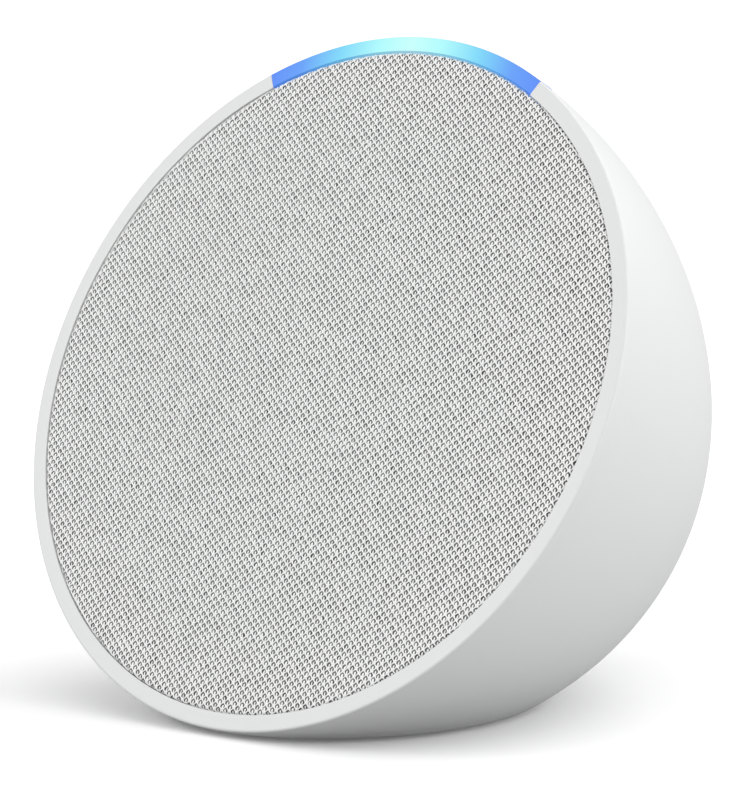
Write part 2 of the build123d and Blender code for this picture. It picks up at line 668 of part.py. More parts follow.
# a rubber half roll from the cone's edge to the basket's flange
def surround():
    low, high = -DRIVER_FRONT, SURROUND_WALL - DRIVER_FRONT
    start, middle, end = CONE_RADIUS - SURROUND_LAP, CONE_RADIUS + SURROUND_ROLL, BASKET_RADIUS
    outer, inner = SURROUND_ROLL, SURROUND_ROLL - SURROUND_WALL
    edges = [
        Line((start, high), (middle - outer, high)),
        ThreePointArc((middle - outer, high), (middle, high + outer), (middle + outer, high)),
        Line((middle + outer, high), (end, high)),
        Line((end, high), (end, low)),
        Line((end, low), (middle + inner, low)),
        ThreePointArc((middle + inner, low), (middle, low + outer), (middle - inner, low)),
        Line((middle - inner, low), (start, low)),
        Line((start, low), (start, high)),
    ]
    return FACE * revolve(make_face(Plane.XZ * Curve(edges)), Axis.Z)


# a corrugated cloth ring that centres the coil
def spider():
    start, end = FORMER_RADIUS + FORMER_WALL, SPIDER_RADIUS + SPIDER_RIM
    first, last = start + SPIDER_COLLAR, end - SPIDER_LANDING
    bends = 2 * SPIDER_WAVES
    top = [(start, SPIDER_DEPTH), (first, SPIDER_DEPTH)]
    for index in range(1, bends):
        swing = SPIDER_CREST if index % 2 else -SPIDER_CREST
        top.append((first + (last - first) * index / bends, SPIDER_DEPTH + swing))
    top += [(last, SPIDER_DEPTH), (end, SPIDER_DEPTH)]
    bottom = [(radius, depth - SPIDER_WALL) for radius, depth in reversed(top)]
    return FACE * turned(*top, *bottom)


# the two lead-out wires that flex between the coil and the terminals
def tinsel_leads():
    lead = wire(90, TINSEL_ROUTE, TINSEL_RADIUS, TINSEL_BEND)
    return FACE * (Part() + [Pos(0, side, 0) * lead for side in (-TERMINAL_SPACING, TERMINAL_SPACING)])


def cone():
    inner = FORMER_RADIUS + FORMER_WALL
    land_back = CONE_FRONT + CONE_LAND_THICKNESS
    neck_width, neck_length = CONE_NECK
    return FACE * turned(
        (CONE_RADIUS, CONE_FRONT), (CONE_RADIUS, land_back), (CONE_RADIUS - CONE_LAND[1], land_back),
        (inner + neck_width, CONE_BACK), (inner, CONE_BACK), (inner, CONE_BACK - neck_length),
        (CONE_RADIUS - CONE_LAND[0], CONE_FRONT),
    )


def dust_cap():
    run = (CONE_BACK - CONE_FRONT) / (CONE_RADIUS - FORMER_RADIUS)
    seat = CONE_BACK - CAP_SINK - (CAP_RADIUS - FORMER_RADIUS) * run
    sphere = (CAP_RADIUS**2 + CAP_RISE**2) / (2 * CAP_RISE)
    middle = Pos(0, 0, CAP_RISE - sphere - seat)
    shell = middle * (Sphere(sphere) - Sphere(sphere - CAP_WALL))
    return FACE * (shell & disc(CAP_RADIUS, seat - CAP_RISE - OVER, seat))


def voice_coil_former():
    back = MOTOR_FRONT + TOP_PLATE_THICKNESS + FORMER_TAIL
    return FACE * ring(FORMER_RADIUS, FORMER_RADIUS + FORMER_WALL, CONE_BACK - FORMER_LAP, back)


def voice_coil():
    inner = FORMER_RADIUS + FORMER_WALL
    middle = MOTOR_FRONT + TOP_PLATE_THICKNESS / 2
    return FACE * ring(inner, inner + COIL_WALL, middle - COIL_HALF_LENGTH, middle + COIL_HALF_LENGTH)


# ---- controls ----
def plus_sign():
    return minus_sign() + Rot(0, 0, 90) * minus_sign()


def minus_sign():
    return Box(SYMBOL_SIZE, SYMBOL_STROKE, SYMBOL_CUTTER)


# a capsule over a short stand, crossed by a slanting bar
def crossed_mic_sign():
    length, width, rise = MIC_CAPSULE
    sign = Pos(0, rise, 0) * extrude(SlotOverall(length, width, rotation=90), SYMBOL_CUTTER / 2, both=True)
    for width, height, rise in (MIC_STAND, MIC_FOOT):
        sign += Pos(0, rise, 0) * Box(width, height, SYMBOL_CUTTER)
    return sign + Rot(0, 0, 45) * Box(*MIC_STROKE, SYMBOL_CUTTER)


SYMBOLS = {"volume_down": minus_sign, "mic_off": crossed_mic_sign, "volume_up": plus_sign}


def button(name):
    seat = control(BUTTON_BEARINGS[name])
    cap = (seat * upright(BUTTON_RADIUS, FLANGE_BOTTOM, 2 * OVER)) & dome(-BUTTON_PROUD)
    cap += seat * upright(BUTTON_FLANGE, FLANGE_BOTTOM, FLANGE_TOP)
    sign = Pos(0, 0, BUTTON_PROUD - SYMBOL_DEPTH + SYMBOL_CUTTER / 2) * SYMBOLS[name]()
    return FACE * (cap - seat * sign)


def switch_plunger(name):
    return FACE * control(BUTTON_BEARINGS[name]) * upright(PLUNGER_RADIUS, PLUNGER_TIP, FLANGE_BOTTOM)


def switch_bodies():
    height = SWITCH_TOP - CONTROL_BOARD_TOP
    body = Pos(0, 0, (SWITCH_TOP + CONTROL_BOARD_TOP) / 2) * Box(SWITCH_SIZE, SWITCH_SIZE, height)
    body -= upright(PLUNGER_RADIUS + CLEARANCE, PLUNGER_WELL, SWITCH_TOP + OVER)
    return FACE * (Part() + [control(bearing) * body for bearing in BUTTON_BEARINGS.values()])


def button_board():
    bottom = CONTROL_BOARD_TOP - CONTROL_BOARD_THICKNESS
    board = control_band(CONTROL_BOARD_ANGLE, CONTROL_BOARD_TOP, bottom, CONTROL_BOARD_WIDTH / 2)
    hole_radius = POST_SCREW[2] + HOLE_EASE
    board -= at_controls(POST_BEARINGS, hole_radius, bottom - OVER, CONTROL_BOARD_TOP + OVER)
    return FACE * board


def button_board_screws():
    head_radius, head, shank_radius = POST_SCREW
    seat = CONTROL_BOARD_TOP - CONTROL_BOARD_THICKNESS - CLEARANCE / 3
    one = upright(head_radius, seat - head, seat) + upright(shank_radius, seat, POST_SCREW_TIP)
    return FACE * (Part() + [control(bearing) * one for bearing in POST_BEARINGS])


def microphones():
    case = Pos(0, 0, CONTROL_BOARD_TOP + MIC_SIZE[2] / 2) * Box(*MIC_SIZE)
    return FACE * (Part() + [control(bearing) * case for bearing in MIC_BEARINGS])


def mic_gaskets():
    bottom = CONTROL_BOARD_TOP + MIC_SIZE[2]
    seal = upright(MIC_SEAL, bottom, -WALL - CLEARANCE) - upright(MIC_HOLE, bottom - OVER, 0)
    return FACE * (Part() + [control(bearing) * seal for bearing in MIC_BEARINGS])


# the flat cable from the button board down to the main board
def ribbon_cable():
    path = Plane.YZ * FilletPolyline(*[(up, -depth) for up, depth in RIBBON_ROUTE], radius=RIBBON_BEND)
    section = Plane(origin=path @ 0, x_dir=(1, 0, 0), z_dir=path % 0) * Rectangle(*RIBBON_SIZE)
    return FACE * sweep(section, path)


# ---- electronics ----
def main_board():
    board_back = BOARD_FRONT + BOARD_THICKNESS
    size = 2 * BOARD_RADIUS
    board = disc(BOARD_RADIUS, BOARD_FRONT, board_back)
    board -= Pos(0, BOARD_CHORD - size / 2, -BOARD_FRONT) * Box(size, size, size)
    board -= screw_holes(BOARD_SCREW, BOARD_SCREW_RADIUS, BOARD_SCREW_BEARINGS, BOARD_FRONT, board_back)
    return FACE * board


def main_board_screws():
    return FACE * at_each(BOARD_SCREW_RADIUS, BOARD_SCREW_BEARINGS, screw(BOARD_SCREW, BOARD_FRONT))


# one connector where each cable's route ends
def main_board_connectors():
    body = Part()
    for route, bearing, size in (
        (RIBBON_ROUTE, 0, RIBBON_CONNECTOR),
        (SPEAKER_WIRE_ROUTE, 90, SPEAKER_CONNECTOR),
        (LIGHT_CABLE_ROUTE, LIGHT_CABLE_BEARING, LIGHT_CONNECTOR),
    ):
        body += at(route[-1][0], bearing) * block(*size, BOARD_FRONT)
    return FACE * body


def main_board_chips():
    back = BOARD_FRONT + BOARD_THICKNESS
    chips = Part()
    for across, up, width, height, rise in CHIPS:
        chips += Pos(across, up, 0) * block(width, height, back, back + rise)
    radius, rise = CAPACITOR_SIZE
    for across, up in CAPACITOR_SPOTS:
        chips += Pos(across, up, 0) * disc(radius, back, back + rise)
    return FACE * chips


def shield_can():
    back = BOARD_FRONT + BOARD_THICKNESS
    width, height, rise = SHIELD_SIZE
    inner_width, inner_height = width - 2 * SHIELD_WALL, height - 2 * SHIELD_WALL
    can = block(width, height, back, back + rise)
    can -= block(inner_width, inner_height, back - OVER, back + rise - SHIELD_WALL)
    return FACE * Pos(0, COOLER_HEIGHT, 0) * can


def thermal_pad():
    front = BOARD_FRONT + BOARD_THICKNESS + SHIELD_SIZE[2]
    return FACE * Pos(0, COOLER_HEIGHT, 0) * block(PAD_SIZE[0], PAD_SIZE[1], front, front + PAD_SIZE[2])


def heat_sink():
    front = BOARD_FRONT + BOARD_THICKNESS + SHIELD_SIZE[2] + PAD_SIZE[2]
    width, height, base = SINK_SIZE
    sink = block(width, height, front, front + base)
    pitch = (width - FIN_THICKNESS) / (FIN_COUNT - 1)
    fin = block(FIN_THICKNESS, height, front + base, front + base + FIN_HEIGHT)
    sink += [Pos((index - (FIN_COUNT - 1) / 2) * pitch, 0, 0) * fin for index in range(FIN_COUNT)]
    return FACE * Pos(0, COOLER_HEIGHT, 0) * sink


# thin aerials stuck inside the side walls
def antennas():
    outer = WALL + ANTENNA_GAP
    inner = outer + ANTENNA_THICKNESS
    start, end = ANTENNA_ANGLES
    angles = (start, (start + end) / 2, end)
    edges = [
        ThreePointArc(*[flank_point(outer, angle) for angle in angles]),
        Line(flank_point(outer, end), flank_point(inner, end)),
        ThreePointArc(*[flank_point(inner, angle) for angle in reversed(angles)]),
        Line(flank_point(inner, start), flank_point(outer, start)),
    ]
    strip = revolve(make_face(Plane.XZ * Curve(edges)), Axis.Z, revolution_arc=ANTENNA_WIDTH)
    return FACE * (strip + mirror(strip, Plane.YZ))


def speaker_wires():
    wires = Part()
    for bearing in SPEAKER_WIRE_BEARINGS:
        wires += wire(bearing, SPEAKER_WIRE_ROUTE, SPEAKER_WIRE_RADIUS, SPEAKER_WIRE_BEND)
    return FACE * wires


# ---- power inlet ----
def dc_jack_body():
    block_front = WELL_FLOOR - WELL_WALL - JACK_LENGTH
    barrel_floor = WELL_FLOOR - BARREL_DEPTH
    body = Pos(0, block_front + JACK_LENGTH / 2, INLET_HEIGHT) * Box(JACK_SIZE[0], JACK_LENGTH, JACK_SIZE[1])
    body += along_y(JACK_NOSE, block_front + OVER, WELL_FLOOR)
    body -= along_y(BARREL_RADIUS, barrel_floor, WELL_FLOOR + OVER)
    body -= below_barrel(SPRING_SLOT_DROP) * Box(*SPRING_SLOT)
    return body - along_y(PIN_ROOT, barrel_floor - PIN_ROOT_LENGTH, WELL_FLOOR)


def below_barrel(drop):
    return Pos(0, WELL_FLOOR - SPRING_SETBACK, INLET_HEIGHT - BARREL_RADIUS - drop)


# the centre pin, with a thicker root that is moulded into the body
def dc_jack_pin():
    floor = WELL_FLOOR - BARREL_DEPTH
    root = along_y(PIN_ROOT, floor - PIN_ROOT_LENGTH, floor)
    return root + along_y(PIN_RADIUS, floor, WELL_FLOOR - PIN_SETBACK)


# the leaf that presses on the plug's sleeve, in a slot in the barrel's wall
def dc_jack_spring():
    return below_barrel(SPRING_DROP) * Box(*SPRING_SIZE)


def power_wires():
    one = wire(180, POWER_WIRE_ROUTE, POWER_WIRE_RADIUS, POWER_WIRE_BEND)
    wires = Part() + [Pos(side, 0, 0) * one for side in (-POWER_WIRE_SPACING, POWER_WIRE_SPACING)]
    return FACE * wires - dc_jack_body()


NODES = {
    "rear_shell": rear_shell,
    "foot_pad": foot_pad,
    "ballast_plate": ballast_plate,
    "ballast_screws": ballast_screws,
    "light_bar_diffuser": light_bar_diffuser,
    "light_bar_reflector": light_bar_reflector,
    "light_bar_board": light_bar_board,
    "light_bar_leds": light_bar_leds,
    "light_cable": light_cable,
    "grille_fabric": grille_fabric,
    "grille_plate": grille_plate,
    "grille_gasket": grille_gasket,
    "baffle": baffle,
    "baffle_screws": baffle_screws,
    "chamber_gasket": chamber_gasket,
    "chamber_cup": chamber_cup,
    "chamber_screws": chamber_screws,
    "driver_gasket": driver_gasket,
    "driver_basket": driver_basket,
    "driver_screws": driver_screws,
    "driver_terminals": driver_terminals,
    "top_plate": top_plate,
    "magnet": magnet,
    "back_plate": back_plate,
    "surround": surround,
    "spider": spider,
    "tinsel_leads": tinsel_leads,
    "cone": cone,
    "dust_cap": dust_cap,
    "voice_coil_former": voice_coil_former,
    "voice_coil": voice_coil,
    "switch_bodies": switch_bodies,
    "button_board": button_board,
    "button_board_screws": button_board_screws,
    "microphones": microphones,
    "mic_gaskets": mic_gaskets,
    "ribbon_cable": ribbon_cable,
    "main_board": main_board,
    "main_board_screws": main_board_screws,
    "main_board_connectors": main_board_connectors,
    "main_board_chips": main_board_chips,
    "shield_can": shield_can,
    "thermal_pad": thermal_pad,
    "heat_sink": heat_sink,
    "antennas": antennas,
    "speaker_wires": speaker_wires,
    "dc_jack_body": dc_jack_body,
    "dc_jack_pin": dc_jack_pin,
    "dc_jack_spring": dc_jack_spring,
    "power_wires": power_wires,
}

os.makedirs("parts", exist_ok=True)
for name, make in NODES.items():
    export_step(make(), f"parts/{name}.step")
for name in BUTTON_BEARINGS:
    export_step(button(name), f"parts/{name}_button.step")
    export_step(switch_plunger(name), f"parts/{name}_plunger.step")
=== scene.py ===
import json
import math
import bpy
import numpy as np
from mathutils import Matrix, Vector


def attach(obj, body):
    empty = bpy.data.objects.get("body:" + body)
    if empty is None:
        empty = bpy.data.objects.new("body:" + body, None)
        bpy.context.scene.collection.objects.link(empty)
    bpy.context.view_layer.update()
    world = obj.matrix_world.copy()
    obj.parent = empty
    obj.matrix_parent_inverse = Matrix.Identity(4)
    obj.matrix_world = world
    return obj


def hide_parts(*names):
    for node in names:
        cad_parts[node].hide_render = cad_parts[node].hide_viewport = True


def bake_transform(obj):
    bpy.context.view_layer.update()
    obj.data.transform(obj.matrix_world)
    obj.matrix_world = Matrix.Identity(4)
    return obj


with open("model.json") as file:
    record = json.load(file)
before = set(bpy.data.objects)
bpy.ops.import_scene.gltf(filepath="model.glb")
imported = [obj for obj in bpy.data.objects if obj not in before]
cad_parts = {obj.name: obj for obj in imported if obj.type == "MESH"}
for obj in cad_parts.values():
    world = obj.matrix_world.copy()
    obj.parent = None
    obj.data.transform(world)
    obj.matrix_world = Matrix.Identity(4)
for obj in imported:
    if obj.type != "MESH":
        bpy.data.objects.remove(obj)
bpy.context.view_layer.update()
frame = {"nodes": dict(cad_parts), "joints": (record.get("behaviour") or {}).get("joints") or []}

nodes = frame["nodes"]
mm = 0.001
print("frame loaded,", len(nodes), "nodes")


# the face's centre at the front of the rim, and its directions to the right, up and out
def findFace():
    travel = next(joint for joint in frame["joints"] if joint["name"] == "cone_travel")
    out = Vector(travel["axis"]).normalized()
    right = Vector((1, 0, 0))
    up = out.cross(right)
    plate = [vertex.co for vertex in nodes["grille_plate"].data.vertices]
    front = max(vertex.co.dot(out) for vertex in nodes["light_bar_diffuser"].data.vertices)
    centre = out * front
    for way in (right, up):
        reach = [point.dot(way) for point in plate]
        centre += way * (max(reach) + min(reach)) / 2
    return centre, right, up, out


faceCentre, faceRight, faceUp, faceOut = findFace()


# world places of points given as distance right, distance up the face and depth behind the rim
def fromFace(across, up, depth):
    spots = np.stack([across, up, -np.asarray(depth)], axis=-1)
    axes = np.array([faceRight, faceUp, faceOut])
    return spots @ axes + np.array(faceCentre)


cameraValues = {
    "azimuth": 40.1,  # degrees round from straight in front
    "elevation": 6.4,
    "distance": 535 * mm,  # from the face's centre
    "aside": 7.73 * mm,
    "below": 3.24 * mm,
    "lens": 180,
    "sensor": 36,
}


def makeCamera(values):
    turn, rise = math.radians(values["azimuth"]), math.radians(values["elevation"])
    right = Vector((math.cos(turn), math.sin(turn), 0))
    back = Vector((math.sin(turn) * math.cos(rise), -math.cos(turn) * math.cos(rise), math.sin(rise)))
    up = back.cross(right)
    data = bpy.data.cameras.new("camera")
    data.lens = values["lens"]
    data.sensor_width = values["sensor"]
    data.clip_end = 20
    camera = bpy.data.objects.new("camera", data)
    bpy.context.scene.collection.objects.link(camera)
    place = faceCentre + right * values["aside"] - up * values["below"] + back * values["distance"]
    camera.matrix_world = Matrix.Translation(place) @ Matrix((right, up, back)).transposed().to_4x4()
    bpy.context.scene.camera = camera


makeCamera(cameraValues)
print("camera placed")


# a socket of a node tree that can take part in sums
class Wire:
    def __init__(self, shader, socket):
        self.shader = shader
        self.socket = socket

    def maths(self, operation, first, second=0.0):
        return self.shader.node("Math", {"operation": operation}, {0: first, 1: second})

    def __add__(self, other):
        return self.maths("ADD", self, other)

    def __radd__(self, other):
        return self.maths("ADD", other, self)

    def __sub__(self, other):
        return self.maths("SUBTRACT", self, other)

    def __rsub__(self, other):
        return self.maths("SUBTRACT", other, self)

    def __mul__(self, other):
        return self.maths("MULTIPLY", self, other)

    def __rmul__(self, other):
        return self.maths("MULTIPLY", other, self)

    def __truediv__(self, other):
        return self.maths("DIVIDE", self, other)

    def __rtruediv__(self, other):
        return self.maths("DIVIDE", other, self)

    def __abs__(self):
        return self.maths("ABSOLUTE", self)

    def __gt__(self, other):
        return self.maths("GREATER_THAN", self, other)

    # a smooth ripple from -1 to 1 that repeats after each pitch
    def ripple(self, pitch):
        return self.maths("SINE", self * (2 * math.pi / pitch))


class Shader:
    def __init__(self, name, constants):
        self.material = bpy.data.materials.new(name)
        self.material.use_nodes = True
        self.tree = self.material.node_tree
        self.surface = self.tree.nodes["Principled BSDF"]
        for socket, value in constants.items():
            self.surface.inputs[socket].default_value = value
        self.places = self.node("TexCoord", {}, {}, "Object")

    # adds a node: settings are set before its sockets get their values or links
    def node(self, kind, settings, sockets, output=0):
        made = self.tree.nodes.new("ShaderNode" + kind)
        stops = settings.pop("stops", None)
        for name, value in settings.items():
            setattr(made, name, value)
        if stops:
            ramp = made.color_ramp
            while len(ramp.elements) < len(stops):
                ramp.elements.new(1)
            for element, (position, colour) in zip(ramp.elements, stops):
                element.position = position
                element.color = colour
        for name, value in sockets.items():
            if isinstance(value, Wire):
                self.tree.links.new(value.socket, made.inputs[name])
            else:
                made.inputs[name].default_value = value
        return Wire(self, made.outputs[output])

    def feed(self, socket, wire):
        self.tree.links.new(wire.socket, self.surface.inputs[socket])

    def noise(self, size, detail=2.0, places=None):
        sockets = {"Scale": 1 / size, "Detail": detail, "Vector": places or self.places}
        return self.node("TexNoise", {}, sockets, "Fac")

    def mix(self, factor, first, second):
        return self.node("Mix", {"data_type": "RGBA"}, {0: factor, 6: first, 7: second}, 2)

    def bump(self, height, depth):
        self.feed("Normal", self.node("Bump", {}, {"Distance": depth, "Height": height}))

    # how far a place lies along a direction
    def along(self, way):
        sockets = {0: self.places, 1: tuple(way)}
        return self.node("VectorMath", {"operation": "DOT_PRODUCT"}, sockets, "Value")

    # how far a place is from the line through a point along a direction
    def around(self, point, way):
        offset = self.node("VectorMath", {"operation": "SUBTRACT"}, {0: self.places, 1: tuple(point)})
        across = self.node("VectorMath", {"operation": "CROSS_PRODUCT"}, {0: offset, 1: tuple(way)})
        return self.node("VectorMath", {"operation": "LENGTH"}, {0: across}, "Value")


def grey(level):
    return (level, level, level, 1.0)


def shade(colour, factor):
    return tuple(channel * factor for channel in colour[:3]) + (1.0,)


# a moulded, cast, ground or painted finish: two-scale colour variation, uneven gloss and a fine surface
def mouldedShader(name, values):
    colour = values["colour"]
    constants = {
        "Metallic": values.get("metal", 0.0),
        "Specular IOR Level": values.get("specular", 0.5),
        "Coat Weight": values.get("coat", 0.0),
    }
    shader = Shader(name, constants)
    cloud = shader.noise(values.get("cloud", 12 * mm), 3.0)
    grain = shader.noise(values["grain"], 4.0)
    spread = values.get("variation", 0.04)
    body = shader.mix(cloud, shade(colour, 1 - spread), shade(colour, 1 + spread))
    shader.colour = shader.mix(grain * values.get("speck", 0.1), body, shade(colour, 0.8))
    shader.feed("Base Color", shader.colour)
    shader.feed("Roughness", values["rough"] + (grain - 0.5) * values.get("roughSpread", 0.12))
    shader.bump(grain, values["relief"])
    return shader


def mouldedFinish(name, values):
    return mouldedShader(name, values).material


# drawn, ground or plated metal: fine streaks along one direction over slow stains
def brushedFinish(name, values):
    shader = Shader(name, {"Metallic": 1.0})
    stretch = {0: shader.places, 1: values.get("stretch", (0.08, 1.0, 1.0))}
    along = shader.node("VectorMath", {"operation": "MULTIPLY"}, stretch)
    streak = shader.noise(values["grain"], 3.0, along)
    stain = shader.noise(values.get("stain", 6 * mm), 3.0)
    colour = values["colour"]
    shader.feed("Base Color", shader.mix(stain, shade(colour, 0.88), shade(colour, 1.06)))
    shader.feed("Roughness", values["rough"] + (streak - 0.5) * 0.25 + (stain - 0.5) * 0.1)
    shader.bump(streak, values["relief"])
    return shader.material


# resin-stiffened cloth: threads that cross over and under in the plane of the face, with painted shade making
# it darker where the weave dips and lighter where it stands high
def clothFinish(name, values):
    shader = Shader(name, {"Specular IOR Level": 0.3})
    across = shader.along(faceRight).ripple(values["thread"])
    up = shader.along(faceUp).ripple(values["thread"])
    weaveAndShade = 0.5 + across * up * 0.5
    fibre = shader.noise(0.05 * mm, 3.0)
    # painted shade: the colour follows the weave's height, darker in its dips and lighter on its raised
    # threads
    tone = shader.mix(weaveAndShade, shade(values["colour"], 0.68), shade(values["colour"], 1.08))
    shader.feed("Base Color", shader.mix(fibre * 0.3, tone, shade(values["colour"], 0.5)))
    shader.feed("Roughness", 0.55 + fibre * 0.3)
    shader.bump(weaveAndShade + fibre * 0.4, values["thread"] * 0.25)
    return shader.material


# wire wound in close turns round the face's axis
def windingFinish(name, values):
    shader = Shader(name, {"Coat Weight": 0.6, "Coat Roughness": 0.15, "Metallic": 0.9})
    turn = shader.along(faceOut).ripple(values["wire"])
    heat = shader.noise(1.5 * mm, 2.0)
    shader.feed("Base Color", shader.mix(heat, shade(values["colour"], 0.75), shade(values["colour"], 1.05)))
    shader.feed("Roughness", 0.35 - turn * 0.1)
    shader.bump(turn, values["wire"] * 0.3)
    return shader.material


# solder mask over copper tracks that run across in some areas and up in others, with plated holes
def boardFinish(name, values):
    shader = Shader(name, {"Coat Weight": 0.5, "Coat Roughness": 0.25})
    area = shader.noise(7 * mm, 0.0) > 0.5
    lines = area * shader.along(faceRight).ripple(values["track"])
    lines = lines + (1 - area) * shader.along(faceUp).ripple(values["track"])
    track = (lines > 0.35) * (shader.noise(3 * mm, 1.0) > 0.42)
    spot = shader.node("TexVoronoi", {}, {"Vector": shader.places, "Scale": 1 / values["holes"]}, "Distance")
    hole = 1 - (spot > 0.17)
    mask = shader.mix(track, values["mask"] + (1.0,), values["overCopper"] + (1.0,))
    shader.feed("Base Color", shader.mix(hole, mask, values["plating"] + (1.0,)))
    shader.feed("Metallic", hole * 0.9)
    shader.feed("Roughness", 0.35 + shader.noise(0.4 * mm, 2.0) * 0.15)
    shader.bump(track - hole, 0.035 * mm)
    return shader.material


shellValues = {
    "shell": {"colour": (0.72, 0.725, 0.725), "rough": 0.42, "grain": 0.22 * mm, "relief": 0.006 * mm,
              "variation": 0.006, "speck": 0.02, "cloud": 30 * mm, "roughSpread": 0.08},
    "button": {"colour": (0.73, 0.735, 0.735), "rough": 0.38, "grain": 0.18 * mm, "relief": 0.004 * mm,
               "variation": 0.006, "speck": 0.02, "ink": grey(0.2),
               "signDepth": 0.2 * mm, "signBand": 0.04 * mm, "signReach": 3.0 * mm},
    "foot": {"colour": (0.5, 0.51, 0.515), "rough": 0.8, "grain": 0.3 * mm, "relief": 0.03 * mm,
             "specular": 0.3},
}


# white moulding with grey ink in the bottom of its engraved sign
def buttonFinish(button, values):
    press = next(joint for joint in frame["joints"] if joint["name"] == button + "_press")
    out = -Vector(press["axis"]).normalized()
    points = [vertex.co for vertex in nodes[button + "_button"].data.vertices]
    top = max(point.dot(out) for point in points)
    middle = sum(points, Vector()) / len(points)
    shader = mouldedShader(button + "_white", values)
    depth = top - shader.along(out)
    clear = abs(depth - values["signDepth"]) > values["signBand"]
    ink = (1 - clear) * (1 - (shader.around(middle, out) > values["signReach"]))
    shader.feed("Base Color", shader.mix(ink, shader.colour, values["ink"]))
    return shader.material


lightValues = {
    "stops": [  # share of the bar's reach from the middle, and the light's colour there
        (0.0, (0.55, 0.97, 0.94)),
        (0.22, (0.42, 0.94, 0.95)),
        (0.5, (0.2, 0.68, 0.92)),
        (0.78, (0.12, 0.34, 0.92)),
        (1.0, (0.1, 0.26, 0.92)),
    ],
    "strength": 1.0,
    "edge": 0.08 * mm,  # the dimmer line along the bar's two edges
    "edgeColour": (0.02, 0.12, 0.42),
    "edgeShare": 0.5,
    "rimDepth": 1 * mm,  # how far behind the front the bar's radii are measured
}


def lightBarFinish(values):
    constants = {"Roughness": 0.4, "Emission Strength": values["strength"], "Specular IOR Level": 0.15}
    shader = Shader("light_bar_glow", constants)
    bar = [vertex.co for vertex in nodes["light_bar_diffuser"].data.vertices]
    reach = max(abs(point.x) for point in bar)
    front = max(point.dot(faceOut) for point in bar)
    rim = [point for point in bar if point.dot(faceOut) > front - values["rimDepth"]]
    radii = [(point - faceCentre).cross(faceOut).length for point in rim]
    share = abs(shader.along(faceRight)) / reach
    stops = [(place, colour + (1.0,)) for place, colour in values["stops"]]
    glow = shader.node("ValToRGB", {"stops": stops}, {"Fac": share})
    radius = shader.around(faceCentre, faceOut)
    middle, half = (max(radii) + min(radii)) / 2, (max(radii) - min(radii)) / 2
    edge = abs(radius - middle) > half - values["edge"]
    dim = values["edgeColour"] + (1.0,)
    shader.feed("Emission Color", shader.mix(edge * values["edgeShare"], glow, dim))
    grain = shader.noise(0.3 * mm, 2.0)
    shader.feed("Base Color", shader.mix(grain, grey(0.008), grey(0.014)))
    shader.bump(grain, 0.004 * mm)
    return shader.material


knitValues = {
    "wale": 1.31 * mm,  # a cell's width along the face
    "course": 1.08 * mm,  # a cell's height up the face
    "swing": 0.215 * mm,  # how far a column of stitches leans to each side
    "width": 0.3 * mm,
    "height": 0.14 * mm,
    "kink": 0.12,  # how square the lean is
    "puff": 0.22,  # how much a strand swells and thins
    "section": 1.35,  # half the angle of a strand's rounded section, in radians
    "radius": 46.9 * mm,
    "front": 0.14 * mm,  # how far the cloth lies behind the rim
    "bend": 0.3 * mm,  # the radius of its fold at the edge
    "skirt": 1.3 * mm,  # how far it runs back after the fold
    "steps": 8,  # points along each course
    "wander": 0.02 * mm,
    "loopWidth": 0.27 * mm,
    "loopHeight": 0.10 * mm,
    "loopPath": (-0.42, -0.2, 0.02, 0.16),  # places along a loop, as shares of a course
    "loopFullness": (0.9, 1.0, 0.95, 0.5),
    "loopRise": (0.0, 0.14, 0.2, -0.04),  # shares of a loop's height
    "loopLean": 0.07,  # spread of the lean, as a share of a wale
    "loopSizes": (0.65, 1.4),
    "loopMargin": 0.6,  # share of the skirt that has no loops
    "scrimRings": (14, 12),  # over the flat and round the fold
    "scrimTurns": 160,
    "scrimDrop": 0.1 * mm,
    "seed": 11,
    "yarn": (0.98, 0.98, 0.975),
    "scrim": (0.22, 0.22, 0.22),
}


# how far the cloth reaches from its middle, along its surface
def clothReach(values):
    return values["radius"] + values["bend"] * (math.pi / 2 - 1) + values["skirt"]


# lays flat cloth places over the face and down round its edge; lift stands off the cloth
def drape(across, up, lift, values):
    reach = np.hypot(across, up)
    flat = values["radius"] - values["bend"]
    past = np.maximum(reach - flat, 0)
    angle = np.minimum(past / values["bend"], math.pi / 2)
    down = np.maximum(past - values["bend"] * math.pi / 2, 0)
    rolled = np.minimum(reach, flat) + (values["bend"] + lift) * np.sin(angle)
    depth = values["front"] + values["bend"] - (values["bend"] + lift) * np.cos(angle) + down
    share = rolled / np.maximum(reach, 1e-9)
    return fromFace(across * share, up * share, depth)


# quads between neighbouring rows and columns of a grid of points, as index rows
def gridFaces(rows, columns, start=0):
    corner = start + np.arange(rows - 1)[:, None] * columns + np.arange(columns - 1)[None, :]
    quads = np.stack([corner, corner + 1, corner + columns + 1, corner + columns], axis=-1)
    return quads.reshape(-1, 4)


def meshPiece(name, points, quads):
    mesh = bpy.data.meshes.new(name)
    mesh.vertices.add(len(points))
    mesh.vertices.foreach_set("co", np.asarray(points, dtype=np.float32).ravel())
    mesh.loops.add(quads.size)
    mesh.loops.foreach_set("vertex_index", quads.astype(np.int32).ravel())
    mesh.polygons.add(len(quads))
    mesh.polygons.foreach_set("loop_start", np.arange(0, quads.size, 4, dtype=np.int32))
    mesh.update(calc_edges=True)
    mesh.validate()
    mesh.polygons.foreach_set("use_smooth", np.ones(len(mesh.polygons), dtype=bool))
    piece = bpy.data.objects.new(name, mesh)
    bpy.context.scene.collection.objects.link(piece)
    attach(piece, "housing")
    return piece


# a strand's rounded section: offsets across it and lifts off the cloth
def strandSection(width, height, turn, count):
    angles = np.linspace(-turn, turn, count)
    return np.sin(angles) * width / 2, np.cos(angles) * height


